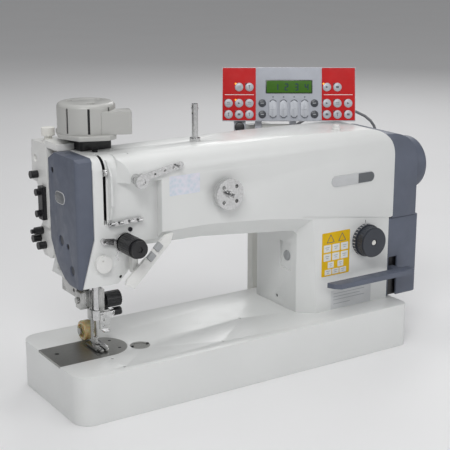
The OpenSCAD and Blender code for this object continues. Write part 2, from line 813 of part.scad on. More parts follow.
module puller_motor() color("lightgray") placed() translate([motor_c.x, motor_c.y, 277]) difference() {
  union() {
    rotate_extrude($fn = 96) {
      square([motor_r, 31]);
      square([motor_r - 6, 37]);
      translate([motor_r - 6, 31]) circle(6);
    }
    rotate(motor_turn) linear_extrude(28) round_rect([14, -34], [52, -10], 2);
  }
  for (k = [0:7]) rotate(24 + 45 * k) translate([motor_r - 2, -1.5, 1.5]) cube([4, 3, 31]);
  for (k = [0:2]) rotate(20 + 120 * k) translate([22, 0, 35]) cylinder(h = 4, r = 5);
}

module puller_arm() color("silver") placed() {
  rod_z([lift_bar.x, lift_bar.y, 62], 191, 6);
  difference() {
    union() {
      block([54, 113, 62], [79, 157, 83]);
      along_x(74.6, 79) union() {
        link_2d([wheel_c.y, wheel_c.z], [wheel_c.y + 2, 72], 6.5);
        translate([113, 58]) square([20, 24]);
      }
    }
    rod_x([53, 122, 70], 5, 2.5);
  }
  rod_x([58.6, wheel_c.y, wheel_c.z], 18, 3);
  rod_x([57, wheel_c.y, wheel_c.z], 2.6, 4.5);
}

module puller_wheel() color("khaki") placed() difference() {
  translate([60.5, wheel_c.y, wheel_c.z]) rotate([0, 90, 0]) rotate_extrude($fn = 72) {
    translate([3 + fit, 0]) square([wheel_r - 5 - fit, 13]);
    translate([wheel_r - 3, 2]) square([3, 9]);
    for (z = [2, 11]) translate([wheel_r - 2, z]) circle(2);
  }
  for (x = [59, 71.5]) tube_x([x, wheel_c.y, wheel_c.z], 4, wheel_r - 4, 5);
  for (k = [0:4]) translate([0, wheel_c.y, wheel_c.z]) rotate([k * 72, 0, 0]) rod_x([59, 0, 7.2], 18, 1.6);
}

module puller_knob() color("ivory") placed() {
  rod_z([46, 164, 250.5], 20, 3.5);
  rod_z([46, 164, 260.4], 8, 5);
  difference() {
    rod_z([46, 164, 266], 10, 8.5);
    for (k = [0:19])
      translate([46, 164, 265]) rotate(k * 18) translate([9, 0, 0]) cylinder(h = 12, r = 0.8);
  }
}

// ---- Operating panel on its post ----

// Turning axis of the panel, in the panel's own frame: back and up
panel_axis = [19, -panel_h / 2 - 6];

module panel_post() color("gainsboro") placed() {
  difference() {
    block([post.x, post.y, -50], [post.x + 13, post.y + 13, 234]);
    block([post.x + 2, post.y + 2, -40], [post.x + 11, post.y + 11, 228]);
  }
  block([post.x - 12, bed_w, -48], [post.x + 25, bed_w + 4, -8]);
  panel_frame() {
    rod_x([-48, panel_axis.x, panel_axis.y], 60, 2.95);
    block([-37.5, panel_axis.x - 4, panel_axis.y - 4], [1.5, panel_axis.x + 14, panel_axis.y + 3]);
    block([-38, panel_axis.x + 9, panel_axis.y - 4], [19.5, panel_axis.x + 16, panel_axis.y + 3]);
  }
  block([post.x, post.y, 228], [post.x + 31, post.y + 20, 234]);
  along_z(228, 243.5) polygon([[371, 190], [371, 200], [402, 200], [402, 180], [392, 182], [379, 190]]);
}

module operator_panel() color("silver") placed() panel_frame() {
  along_x(-panel_w / 2, panel_w / 2) polygon([[0, -panel_h / 2], [0, panel_h / 2],
    [panel_d, panel_h / 2], [panel_d, 20 - panel_h / 2], [7, -panel_h / 2]]);
  for (x = [-47.5, 2]) difference() {
    block([x, panel_axis.x - 5, panel_axis.y - 5], [x + 9.5, panel_axis.x + 5, 20 - panel_h / 2]);
    rod_x([x - 1, panel_axis.x, panel_axis.y], 12, 3);
  }
  block([-78, 6, -13 - panel_h / 2], [-61, 20, 15 - panel_h / 2]);
}

// Lead from behind the panel to the end cover, as points of its middle line
lead_route = [[430, 161, 239], [433, 166, 238], [440, 171, 239.5], [451, 173, 243], [464, 170, 248],
              [478, 162, 254], [492, 152, 258], [506, 140, 260], [518, 129, 258], [528, 121, 252],
              [535, 116, 245], [539, 113, 238], [541, 112, 232], [542, 112, 227]];
lead_r = 2;

module panel_lead() color("dimgray") placed() {
  n = len(lead_route);
  sides = 8;
  rings = [for (i = [0:n - 1]) let (
      t = lead_route[min(i + 1, n - 1)] - lead_route[max(i - 1, 0)], d = t / norm(t),
      s = cross(d, [0, 0, 1]) / norm(cross(d, [0, 0, 1])), u = cross(s, d))
    [for (j = [0:sides - 1]) let (a = j * 360 / sides)
      lead_route[i] + lead_r * (cos(a) * s + sin(a) * u)]];
  polyhedron(points = [for (ring = rings) each ring],
    faces = concat([[for (j = [0:sides - 1]) j]], [[for (j = [sides - 1:-1:0]) (n - 1) * sides + j]],
      [for (i = [0:n - 2], j = [0:sides - 1]) let (m = (j + 1) % sides)
        [i * sides + m, i * sides + j, (i + 1) * sides + j, (i + 1) * sides + m]]));
}

bed();
arm();
face_plate();
screws();
needle_plate();
slide_plate();
bed_cap();
upper_end_cover();
lower_end_cover();
rear_cover();
bearing_bushes();
take_up_guard();
tension_post();
thread_guides();
thread_post();
head_plug();
keypad_housing();
start_button();
tack_button();
dial_ring();
stitch_dial();
reverse_lever();
timing_belt();
motor_stator();
bobbin_case();
bobbin();
handwheel();
upper_shaft();
upper_pulley();
crank();
needle_bar();
needle_piece();
connecting_rod();
take_up_lever();
presser_bar();
presser_spring();
presser_foot();
guide_block();
guide_knob();
edge_guide();
lower_shaft();
lower_pulley();
hook();
feed_bar();
feed_dog();
tension_knob();
check_spring();
pretension_knob();
winder_spindle();
puller_bracket();
puller_fittings();
motor_flange();
motor_spacer();
puller_motor();
puller_arm();
puller_wheel();
puller_knob();
panel_post();
operator_panel();
panel_lead();
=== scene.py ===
"""Looks for the flatbed leather sewing machine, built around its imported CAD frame."""
import json
import math

import bmesh
import bpy
from mathutils import Matrix, Vector

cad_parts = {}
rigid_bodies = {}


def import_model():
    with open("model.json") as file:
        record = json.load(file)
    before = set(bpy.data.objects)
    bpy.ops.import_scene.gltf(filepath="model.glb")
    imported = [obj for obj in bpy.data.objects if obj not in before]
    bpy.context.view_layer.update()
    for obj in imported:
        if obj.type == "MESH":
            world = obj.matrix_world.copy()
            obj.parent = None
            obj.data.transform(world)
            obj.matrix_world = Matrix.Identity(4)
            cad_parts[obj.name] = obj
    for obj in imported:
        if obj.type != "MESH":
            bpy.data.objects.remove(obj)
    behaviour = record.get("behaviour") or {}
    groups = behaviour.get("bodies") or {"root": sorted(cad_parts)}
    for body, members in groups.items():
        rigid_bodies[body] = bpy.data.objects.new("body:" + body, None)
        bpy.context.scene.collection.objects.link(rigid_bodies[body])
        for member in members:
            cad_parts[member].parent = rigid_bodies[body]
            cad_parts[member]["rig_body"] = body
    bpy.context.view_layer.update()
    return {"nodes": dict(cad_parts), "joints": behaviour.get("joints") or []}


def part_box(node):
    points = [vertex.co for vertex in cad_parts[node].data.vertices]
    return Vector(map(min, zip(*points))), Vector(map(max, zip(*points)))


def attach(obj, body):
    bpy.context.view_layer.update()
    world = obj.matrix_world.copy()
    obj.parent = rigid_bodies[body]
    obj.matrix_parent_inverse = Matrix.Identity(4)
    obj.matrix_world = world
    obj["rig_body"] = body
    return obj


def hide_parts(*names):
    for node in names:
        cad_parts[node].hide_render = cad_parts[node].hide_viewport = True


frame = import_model()
nodes = frame["nodes"]

# ---------------------------------------------------------------- the bed's datum
# Every place below is in millimetres from the bed's left end, front edge and top face.
BED_LOW, BED_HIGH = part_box("bed")
MM = 0.001


def at(x, y, z):
    return Vector((BED_LOW.x + x * MM, BED_LOW.y + y * MM, BED_HIGH.z + z * MM))


def axes(origin, right, up):
    """A frame whose X is right, whose Z is up and whose Y points into the surface."""
    right, up = Vector(right).normalized(), Vector(up).normalized()
    back = up.cross(right)
    m = Matrix((right, back, up)).transposed().to_4x4()
    m.translation = origin
    return m


# ---------------------------------------------------------------- camera
def set_camera():
    azimuth, elevation = math.radians(-32.894), math.radians(15.272)
    data = bpy.data.cameras.new("camera")
    data.lens = 89.2
    data.sensor_width = 36
    data.clip_end = 20
    cam = bpy.data.objects.new("camera", data)
    cam.location = at(-521, -1124.3, 527.7)
    cam.rotation_euler = (math.pi / 2 - elevation, 0, azimuth)
    bpy.context.scene.collection.objects.link(cam)
    bpy.context.scene.camera = cam


set_camera()


# ---------------------------------------------------------------- materials
class Mat:
    """A small wrapper that builds one node material."""

    def __init__(self, name, color, rough=0.5, metallic=0.0, **sockets):
        self.mat = bpy.data.materials.new(name)
        self.mat.use_nodes = True
        self.tree = self.mat.node_tree
        self.bsdf = self.tree.nodes["Principled BSDF"]
        self.bsdf.inputs["Base Color"].default_value = (*color, 1)
        self.bsdf.inputs["Roughness"].default_value = rough
        self.bsdf.inputs["Metallic"].default_value = metallic
        for key, value in sockets.items():
            self.bsdf.inputs[key.replace("_", " ")].default_value = value
        self.color = color
        self.coord = self.node("ShaderNodeTexCoord").outputs["Object"]

    def node(self, kind, **props):
        n = self.tree.nodes.new(kind)
        for key, value in props.items():
            setattr(n, key, value)
        return n

    def link(self, a, b):
        self.tree.links.new(a, b)

    def stretched(self, scale):
        m = self.node("ShaderNodeMapping")
        m.inputs["Scale"].default_value = scale
        self.link(self.coord, m.inputs["Vector"])
        return m.outputs["Vector"]

    def noise(self, scale, detail=3.0, stretch=(1, 1, 1)):
        n = self.node("ShaderNodeTexNoise")
        n.inputs["Scale"].default_value = scale
        n.inputs["Detail"].default_value = detail
        self.link(self.stretched(stretch), n.inputs["Vector"])
        return n.outputs["Fac"]

    def ramp(self, fac, low, high, at_low=0.35, at_high=0.65):
        r = self.node("ShaderNodeMapRange")
        r.inputs["From Min"].default_value = at_low
        r.inputs["From Max"].default_value = at_high
        r.inputs["To Min"].default_value = low
        r.inputs["To Max"].default_value = high
        self.link(fac, r.inputs["Value"])
        return r.outputs["Result"]

    def tint(self, fac, other, low=0.3, high=0.7):
        """Mixes the base colour towards another colour where fac is high."""
        mix = self.node("ShaderNodeMix", data_type="RGBA")
        mix.inputs["A"].default_value = (*self.color, 1)
        mix.inputs["B"].default_value = (*other, 1)
        self.link(self.ramp(fac, 0, 1, low, high), mix.inputs["Factor"])
        self.link(mix.outputs["Result"], self.bsdf.inputs["Base Color"])
        return self

    def rough(self, fac, low, high):
        self.link(self.ramp(fac, low, high), self.bsdf.inputs["Roughness"])
        return self

    def bump(self, fac, strength, depth, edge=0.0004):
        b = self.node("ShaderNodeBump")
        b.inputs["Strength"].default_value = strength
        b.inputs["Distance"].default_value = depth
        self.link(fac, b.inputs["Height"])
        if edge:
            e = self.node("ShaderNodeBevel", samples=4)
            e.inputs["Radius"].default_value = edge
            self.link(e.outputs["Normal"], b.inputs["Normal"])
        self.link(b.outputs["Normal"], self.bsdf.inputs["Normal"])
        return self


def enamel(name, color, grain=1.0):
    m = Mat(name, color, 0.38, Coat_Weight=0.25, Coat_Roughness=0.18)
    m.tint(m.noise(14, 4), tuple(c * 0.965 for c in color))
    m.rough(m.noise(60, 3), 0.32, 0.46)
    return m.bump(m.noise(1400, 2), 0.10 * grain, 0.00012).mat


def moulded(name, color, rough=0.5, grain=0.25, coat=0.0):
    m = Mat(name, color, rough, Coat_Weight=coat, Coat_Roughness=0.2)
    m.tint(m.noise(25, 4), tuple(c * 1.18 + 0.002 for c in color))
    m.rough(m.noise(90, 3), rough - 0.07, rough + 0.07)
    return m.bump(m.noise(2600, 2), grain, 0.00010).mat


def metal(name, color, rough=0.3, along=(1, 40, 40), bump=0.10):
    m = Mat(name, color, rough, 1.0)
    streaks = m.noise(45, 5, along)
    m.tint(streaks, tuple(c * 0.82 for c in color))
    m.rough(streaks, rough - 0.08, rough + 0.12)
    return m.bump(m.noise(60, 6, along), bump, 0.00008, 0.0003).mat


def plain(name, color, rough=0.45, **sockets):
    m = Mat(name, color, rough, **sockets)
    m.tint(m.noise(40, 3), tuple(min(1.0, c * 0.9) for c in color))
    return m.rough(m.noise(150, 2), rough - 0.06, rough + 0.06).mat


def urethane():
    m = Mat("amber_urethane", (0.80, 0.68, 0.38), 0.24, Transmission_Weight=0.35, IOR=1.48,
            Subsurface_Weight=0.35, Subsurface_Scale=0.004, Coat_Weight=0.3)
    m.tint(m.noise(90, 4), (0.72, 0.55, 0.24))
    return m.bump(m.noise(300, 3), 0.12, 0.0002).mat


def foil_shimmer():
    m = Mat("security_foil", (0.66, 0.74, 0.82), 0.3, 0.25)
    waves = m.node("ShaderNodeTexVoronoi")
    waves.inputs["Scale"].default_value = 190
    m.link(m.coord, waves.inputs["Vector"])
    m.tint(waves.outputs["Distance"], (0.84, 0.82, 0.90), 0.1, 0.9)
    return m.mat


WHITE = enamel("white_enamel", (0.80, 0.81, 0.80))
SMOOTH_WHITE = enamel("smooth_white", (0.84, 0.84, 0.82), 0.3)
MOTOR_GREY = enamel("motor_grey", (0.50, 0.50, 0.48), 0.6)
POST_PAINT = enamel("post_cream", (0.74, 0.74, 0.70), 0.6)
SLATE = moulded("slate_plastic", (0.105, 0.120, 0.160), 0.46)
DARK_SLATE = moulded("dark_slate", (0.035, 0.040, 0.052), 0.42)
BLACK = moulded("black_plastic", (0.008, 0.008, 0.010), 0.36, 0.15, 0.1)
CREAM = moulded("cream_plastic", (0.76, 0.75, 0.71), 0.42, 0.15)
BUTTON_GREY = moulded("button_grey", (0.36, 0.37, 0.38), 0.45, 0.15)
PANEL_GREY = moulded("panel_grey", (0.50, 0.51, 0.55), 0.38, 0.12)
PLATE = metal("brushed_plate", (0.42, 0.42, 0.40), 0.36, (3, 90, 90), 0.16)
STEEL = metal("ground_steel", (0.52, 0.52, 0.51), 0.24, (40, 40, 2))
CHROME = metal("bright_chrome", (0.70, 0.70, 0.70), 0.15, (8, 8, 8), 0.006)
BRONZE = metal("bush_bronze", (0.55, 0.36, 0.18), 0.35, (8, 8, 8))
DARK_STEEL = metal("oiled_screw", (0.035, 0.035, 0.04), 0.34, (9, 9, 9))
RUBBER = moulded("belt_rubber", (0.02, 0.02, 0.02), 0.7, 0.3)
LEAD = moulded("lead_sheath", (0.20, 0.20, 0.21), 0.5, 0.1)
IRON = metal("laminated_iron", (0.20, 0.20, 0.21), 0.45, (300, 2, 2), 0.3)
AMBER = urethane()

# ---------------------------------------------------------------- CAD nodes: materials
LOOKS = {
    "screws": DARK_STEEL, "needle_plate": PLATE, "slide_plate": PLATE, "bed_cap": PLATE,
    "bearing_bushes": BRONZE, "tension_post": CHROME, "thread_guides": CHROME, "thread_post": CHROME,
    "timing_belt": RUBBER, "motor_stator": IRON, "bobbin_case": STEEL, "bobbin": STEEL,
    "upper_shaft": STEEL, "upper_pulley": STEEL, "crank": STEEL, "needle_bar": CHROME,
    "needle_piece": CHROME, "connecting_rod": STEEL, "take_up_lever": CHROME, "presser_bar": CHROME,
    "presser_spring": STEEL, "presser_foot": STEEL, "guide_block": STEEL, "guide_knob": BLACK,
    "edge_guide": CHROME, "lower_shaft": STEEL, "lower_pulley": STEEL, "hook": STEEL,
    "feed_bar": STEEL, "feed_dog": STEEL, "tension_knob": BLACK, "check_spring": CHROME,
    "pretension_knob": CHROME, "winder_spindle": CHROME, "puller_fittings": BLACK,
    "motor_spacer": BLACK, "puller_arm": STEEL, "puller_wheel": AMBER, "puller_knob": CREAM,
    "panel_lead": LEAD, "dial_ring": DARK_SLATE, "stitch_dial": DARK_SLATE,
    "reverse_lever": SLATE, "start_button": BUTTON_GREY, "tack_button": BUTTON_GREY,
    "head_plug": SMOOTH_WHITE, "keypad_housing": SMOOTH_WHITE, "take_up_guard": WHITE,
    "rear_cover": WHITE, "bed": WHITE, "arm": WHITE, "face_plate": SLATE, "handwheel": SLATE,
    "upper_end_cover": SLATE, "lower_end_cover": SLATE, "puller_bracket": SMOOTH_WHITE,
    "puller_motor": MOTOR_GREY, "motor_flange": MOTOR_GREY, "panel_post": POST_PAINT,
    "operator_panel": PANEL_GREY,
}
for node_name, look in LOOKS.items():
    mesh = nodes[node_name].data
    mesh.materials.clear()
    mesh.materials.append(look)


# ---------------------------------------------------------------- mesh helpers
def smooth(mesh, angle=35):
    for poly in mesh.polygons:
        poly.use_smooth = True
    mesh.set_sharp_from_angle(angle=math.radians(angle))


def add(name, mesh, look, body):
    piece = bpy.data.objects.new(name, mesh)
    bpy.context.scene.collection.objects.link(piece)
    mesh.materials.clear()
    mesh.materials.append(look)
    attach(piece, body)
    return piece


def apply_modifiers(piece):
    deps = bpy.context.evaluated_depsgraph_get()
    mesh = bpy.data.meshes.new_from_object(piece.evaluated_get(deps))
    piece.modifiers.clear()
    piece.data = mesh


def softened(node_name, width, segments=3, angle=28):
    """A copy of a CAD node with real rounded edges, shown in its place."""
    source = nodes[node_name]
    mesh = source.data.copy()
    bm = bmesh.new()
    bm.from_mesh(mesh)
    bmesh.ops.remove_doubles(bm, verts=bm.verts, dist=2e-6)
    bmesh.ops.dissolve_limit(bm, angle_limit=math.radians(1.0), verts=bm.verts, edges=bm.edges)
    bm.to_mesh(mesh)
    bm.free()
    if "custom_normal" in mesh.attributes:
        mesh.attributes.remove(mesh.attributes["custom_normal"])
    piece = add(node_name + "_shell", mesh, LOOKS[node_name], source["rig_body"])
    bevel = piece.modifiers.new("edges", "BEVEL")
    bevel.width = width * MM
    bevel.segments = segments
    bevel.limit_method = "ANGLE"
    bevel.angle_limit = math.radians(angle)
    bevel.use_clamp_overlap = True
    bpy.context.view_layer.update()
    apply_modifiers(piece)
    smooth(piece.data, 40)
    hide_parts(node_name)
    return piece


def plate(name, outline, depth, place, look, body, bevel=0.3, segments=2):
    """An outline in (right, up) millimetres, raised depth out of a surface."""
    bm = bmesh.new()
    base = [bm.verts.new((x * MM, 0, z * MM)) for x, z in outline]
    face = bm.faces.new(base)
    out = bmesh.ops.extrude_face_region(bm, geom=[face])
    moved = [v for v in out["geom"] if isinstance(v, bmesh.types.BMVert)]
    bmesh.ops.translate(bm, verts=moved, vec=(0, -depth * MM, 0))
    bmesh.ops.recalc_face_normals(bm, faces=bm.faces)
    if bevel:
        front = -depth * MM
        rim = [e for e in bm.edges if all(abs(v.co.y - front) < 1e-7 for v in e.verts)]
        bmesh.ops.bevel(bm, geom=rim, offset=bevel * MM, segments=segments, affect="EDGES", profile=0.6)
    bm.transform(place)
    mesh = bpy.data.meshes.new(name)
    bm.to_mesh(mesh)
    bm.free()
    smooth(mesh, 45)
    return add(name, mesh, look, body)


def ellipse(rx, rz, cx=0.0, cz=0.0, count=40):
    return [(cx + rx * math.cos(k * math.tau / count), cz + rz * math.sin(k * math.tau / count))
            for k in range(count)]


def capsule(half_w, half_h, cx=0.0, cz=0.0, r=None, steps=10):
    """A rectangle with round corners of radius r, or the fullest that fits."""
    r = min(half_w, half_h) if r is None else r
    points = []
    for sx, sz, start in ((1, 1, 0), (-1, 1, 90), (-1, -1, 180), (1, -1, 270)):
        for k in range(steps + 1):
            a = math.radians(start + 90 * k / steps)
            points.append((cx + sx * (half_w - r) + r * math.cos(a),
                           cz + sz * (half_h - r) + r * math.sin(a)))
    return points


def lathe(name, profile, place, look, body, count=48):
    """Turns (radius, height) points in millimetres about the place's Y, height towards the viewer."""
    bm = bmesh.new()
    rings = []
    for r, h in profile:
        if r < 1e-6:
            rings.append([bm.verts.new((0, -h * MM, 0))] * count)
        else:
            rings.append([bm.verts.new((r * MM * math.cos(a), -h * MM, r * MM * math.sin(a)))
                          for a in (k * math.tau / count for k in range(count))])
    for low, high in zip(rings, rings[1:]):
        for k in range(count):
            quad = [low[k], low[(k + 1) % count], high[(k + 1) % count], high[k]]
            unique = list(dict.fromkeys(quad))
            if len(unique) > 2:
                bm.faces.new(unique)
    for ring in (rings[0], rings[-1]):
        if len(set(ring)) == count:
            bm.faces.new(ring)
    bmesh.ops.recalc_face_normals(bm, faces=bm.faces)
    bm.transform(place)
    mesh = bpy.data.meshes.new(name)
    bm.to_mesh(mesh)
    bm.free()
    smooth(mesh, 35)
    return add(name, mesh, look, body)


# ---------------------------------------------------------------- castings and covers with real edges
for node_name, width in (("bed", 1.2), ("arm", 1.6), ("face_plate", 3.0), ("upper_end_cover", 1.5),
                         ("lower_end_cover", 2.0), ("handwheel", 1.0), ("puller_motor", 0.8),
                         ("motor_flange", 1.2), ("motor_spacer", 0.8), ("puller_bracket", 1.2),
                         ("panel_post", 1.0), ("operator_panel", 1.2), ("rear_cover", 0.8),
                         ("reverse_lever", 1.5), ("keypad_housing", 0.7), ("head_plug", 0.9),
                         ("guide_block", 0.8), ("puller_arm", 0.6), ("presser_foot", 0.4)):
    softened(node_name, width)

# ---------------------------------------------------------------- operating panel's keypad
tilt = next(j for j in frame["joints"] if j["name"] == "panel_tilt")
LEAN = math.radians(15)
right = Vector(tilt["axis"]).normalized()
level_back = Vector((0, 0, 1)).cross(right)
back = level_back * math.cos(LEAN) - Vector((0, 0, 1)) * math.sin(LEAN)
up = level_back * math.sin(LEAN) + Vector((0, 0, 1)) * math.cos(LEAN)
panel_face = Vector(tilt["pos_m"]) - back * 19 * MM + up * 44 * MM
PANEL = axes(panel_face, right, up)
KEYPAD_STRETCH = Matrix.Diagonal((1.005, 1, 1.027, 1))


def on_panel(depth=0.0):
    return PANEL @ Matrix.Translation((0, -depth * MM, 0)) @ KEYPAD_STRETCH


RED = plain("foil_red", (0.56, 0.010, 0.012), 0.55, Specular_IOR_Level=0.25)
FOIL_GREY = plain("foil_grey", (0.47, 0.49, 0.54), 0.5, Specular_IOR_Level=0.3)
KEY_SILVER = plain("key_silver", (0.50, 0.52, 0.56), 0.4, metallic=0.2)
KEY_DARK = plain("key_dark", (0.055, 0.060, 0.072), 0.35, Coat_Weight=0.3)
KEY_MARK = plain("key_mark", (0.10, 0.11, 0.13), 0.5)
PRINT_WHITE = plain("print_white", (0.85, 0.85, 0.85), 0.5)
PRINT_GREY = plain("print_grey", (0.42, 0.44, 0.46), 0.5)
LAMP = plain("lamp_amber", (0.95, 0.40, 0.02), 0.4, Emission_Color=(1, 0.40, 0.02, 1),
             Emission_Strength=0.9)
LAMP_OFF = plain("lamp_off", (0.10, 0.02, 0.02), 0.3)
LCD = plain("lcd_green", (0.045, 0.13, 0.012), 0.5, Specular_IOR_Level=0.2,
            Emission_Color=(0.10, 0.30, 0.02, 1), Emission_Strength=0.08)
LCD_FRAME = plain("lcd_frame", (0.03, 0.04, 0.03), 0.3)
LCD_INK = plain("lcd_ink", (0.004, 0.012, 0.07), 0.6)
BODY = "panel"

for side, name in ((-1, "left"), (1, "right")):
    zone = capsule(23.4, 36.2, side * 70.0, 0, 0.8, 3)
    plate(f"foil_{name}", zone, 0.5, on_panel(), RED, BODY, 0.15)
    plate(f"rule_{name}", capsule(20.5, 0.4, side * 69.8, -0.9, 0.3, 2), 0.12, on_panel(0.5),
          PRINT_WHITE, BODY, 0)
plate("foil_centre", capsule(46.2, 36.2, 0, 0, 0.8, 3), 0.4, on_panel(), FOIL_GREY, BODY, 0.15)


def joined(name, parts, look, body):
    """Joins freshly made pieces into one."""
    bm = bmesh.new()
    for part in parts:
        bm.from_mesh(part.data)
        data = part.data
        bpy.data.objects.remove(part)
        bpy.data.meshes.remove(data)
    mesh = bpy.data.meshes.new(name)
    bm.to_mesh(mesh)
    bm.free()
    smooth(mesh, 45)
    return add(name, mesh, look, body)


def round_key(x, z, r, look, base):
    profile = [(r, base), (r, base + 0.5), (r - 0.5, base + 0.95), (r * 0.55, base + 1.12), (0, base + 1.2)]
    return lathe("key", profile, on_panel() @ Matrix.Translation((x * MM, 0, z * MM)), look, BODY, 32)


# Round silver keys, each with a small lamp at its upper left and a plain generic mark
columns = [-85.0, -70.2, -55.6, 53.9, 68.7, 83.9]
rows = [-12.7, -28.2]
silver = [(x, z) for x in columns for z in rows] + [(-70.2, 9.6), (-55.6, 9.6), (53.9, 9.6), (68.7, 9.6)]
joined("silver_keys", [round_key(x, z, 5.9, KEY_SILVER, 0.5) for x, z in silver], KEY_SILVER, BODY)
marks, lamps, dark_lamps = [], [], []
for i, (x, z) in enumerate(silver):
    kind = i % 4
    if kind == 0:
        shapes = [capsule(2.6, 0.35, x, z + 1.2, 0.3, 2), capsule(2.6, 0.35, x, z - 1.2, 0.3, 2)]
    elif kind == 1:
        shapes = [capsule(0.4, 2.6, x, z, 0.3, 2), capsule(1.6, 0.35, x, z + 1.8, 0.3, 2)]
    elif kind == 2:
        shapes = [[(x - 1.8, z - 1.5), (x + 2.0, z), (x - 1.8, z + 1.5)]]
    else:
        shapes = [capsule(2.0, 1.4, x, z, 0.4, 2)]
    for shape in shapes:
        marks.append(plate("mark", shape, 0.1, on_panel(1.62), KEY_MARK, BODY, 0))
    target = lamps if i in (2, 12, 14) or kind == 0 and i > 11 else dark_lamps
    target.append(plate("lamp", ellipse(1.3, 1.3, x - 4.8, z + 4.6, 14), 0.5, on_panel(0.45),
                        LAMP, BODY, 0.3))
joined("key_marks", marks, KEY_MARK, BODY)
joined("key_lamps", lamps, LAMP, BODY)
joined("dark_lamps", dark_lamps, LAMP_OFF, BODY)

# Dark round keys and the four rocker keys under the display
dark = [(x, z) for x in (-37.4, 36.3) for z in rows]
joined("dark_keys", [round_key(x, z, 5.4, KEY_DARK, 0.4) for x, z in dark], KEY_DARK, BODY)
joined("dark_marks", [plate("mark", capsule(2.4, 0.5, x, z, 0.4, 2), 0.1, on_panel(1.52),
                            PRINT_GREY, BODY, 0) for x, z in dark], PRINT_GREY, BODY)
ROCKER_Z = -20.4
rockers, arcs = [], []
for k in range(4):
    x = -22.2 + 14.9 * k
    rockers.append(plate("rocker", capsule(5.9, 13.2, x, ROCKER_Z), 1.1, on_panel(0.4),
                         KEY_SILVER, BODY, 0.6, 3))
    rockers.append(plate("waist", capsule(5.0, 0.5, x, ROCKER_Z, 0.4, 2), 0.5, on_panel(1.3),
                         KEY_SILVER, BODY, 0.2))
    for s in (1, -1):
        angles = [math.radians(25 + 13 * i) for i in range(11)]
        outer = [(x + 5.5 * math.cos(a), ROCKER_Z + s * (7.4 + 5.5 * math.sin(a))) for a in angles]
        inner = [(x + 4.3 * math.cos(a), ROCKER_Z + s * (7.4 + 4.3 * math.sin(a)))
                 for a in reversed(angles)]
        arcs.append(plate("arc", outer + inner, 0.12, on_panel(1.5), KEY_MARK, BODY, 0))
    arcs.append(plate("tick", capsule(1.0, 0.7, x, -4.0, 0.3, 2), 0.1, on_panel(0.42), KEY_MARK, BODY, 0))
joined("rocker_keys", rockers, KEY_SILVER, BODY)
joined("rocker_arcs", arcs, KEY_MARK, BODY)

# Display: a dark frame, a green window and four generic figures built of bars
plate("display_frame", capsule(33.0, 9.4, 0.4, 10.2, 1.0, 4), 0.7, on_panel(0.3), LCD_FRAME, BODY, 0.3)
plate("display", capsule(31.6, 8.2, 0.4, 10.2, 0.6, 3), 0.25, on_panel(0.95), LCD, BODY, 0.1)
SEGMENTS = {"a": (0, 1, 1), "b": (1, 0.5, 0), "c": (1, -0.5, 0), "d": (0, -1, 1), "e": (-1, -0.5, 0),
            "f": (-1, 0.5, 0), "g": (0, 0, 1)}
FIGURES = ["bc", "abged", "abgcd", "fgbc"]
ink = []
for k, lit in enumerate(FIGURES):
    for key in lit:
        sx, sz, flat = SEGMENTS[key]
        half = (1.9, 0.62) if flat else (0.62, 2.0)
        cx, cz = -17.5 + 14.2 * k + sx * 2.0, 9.6 + sz * 4.2
        ink.append(plate("bar", capsule(*half, cx, cz, 0.3, 2), 0.08, on_panel(1.2), LCD_INK, BODY, 0))
joined("display_figures", ink, LCD_INK, BODY)

# ---------------------------------------------------------------- badges and labels, all blank
FRONT = axes(at(0, 36, 0), (1, 0, 0), (0, 0, 1))
LOWER_FRONT = axes(at(0, 37.5, 0), (1, 0, 0), (0, 0, 1))
BADGE_LIGHT = plain("badge_light", (0.62, 0.63, 0.64), 0.36, metallic=0.1)
BADGE_DARK = plain("badge_dark", (0.11, 0.12, 0.13), 0.35, Coat_Weight=0.4)
YELLOW = plain("label_yellow", (0.80, 0.50, 0.006), 0.55, Specular_IOR_Level=0.25)
LABEL_WHITE = plain("label_white", (0.80, 0.81, 0.80), 0.45)
LABEL_SILVER = plain("label_silver", (0.68, 0.69, 0.70), 0.4)
HOME = "machine_frame"

BADGE = (439.2, 185.0)
BADGE_SPLIT = 448.0
plate("badge_light", capsule(37.5, 7.6, *BADGE), 1.2, FRONT, BADGE_LIGHT, HOME, 0.5)
right_end = [(x, z) for x, z in capsule(36.7, 6.8, *BADGE) if x > BADGE_SPLIT]
right_end = right_end[len(right_end) // 2:] + right_end[:len(right_end) // 2]
plate("badge_dark", [(BADGE_SPLIT, BADGE[1] - 6.8)] + right_end + [(BADGE_SPLIT, BADGE[1] + 6.8)], 0.25,
      FRONT @ Matrix.Translation((0, -1.15 * MM, 0)), BADGE_DARK, HOME, 0)
SIDE = axes(at(28.5, 0, 0), (0, -1, 0), (0, 0, 1))
plate("face_badge_rim", capsule(13.5, 7.6, -96, 201), 0.8, SIDE, BADGE_LIGHT, HOME, 0.3)
plate("face_badge", capsule(12.6, 6.7, -96, 201), 0.25, SIDE @ Matrix.Translation((0, -0.75 * MM, 0)),
      BADGE_DARK, HOME, 0.1)

LABEL = (413.5, 82.3)
# The sticker's rows of cells: height, middles, half width, half height, half length of a stroke
LABEL_ROWS = [(LABEL[1] + z, [LABEL[0] + pitch * (k - (count - 1) / 2) for k in range(count)], w, h, stroke)
              for z, count, pitch, w, h, stroke in (
                  (8.6, 3, 15.0, 6.3, 5.2, 3.6), (-4.0, 3, 15.0, 6.3, 5.2, 3.6),
                  (-15.6, 2, 17.0, 5.2, 4.4, 2.6), (-25.6, 3, 13.0, 5.8, 3.9, 3.4))]


def raised(height):
    """The arm's lower front face, lifted by a height in millimetres."""
    return LOWER_FRONT @ Matrix.Translation((0, -height * MM, 0))


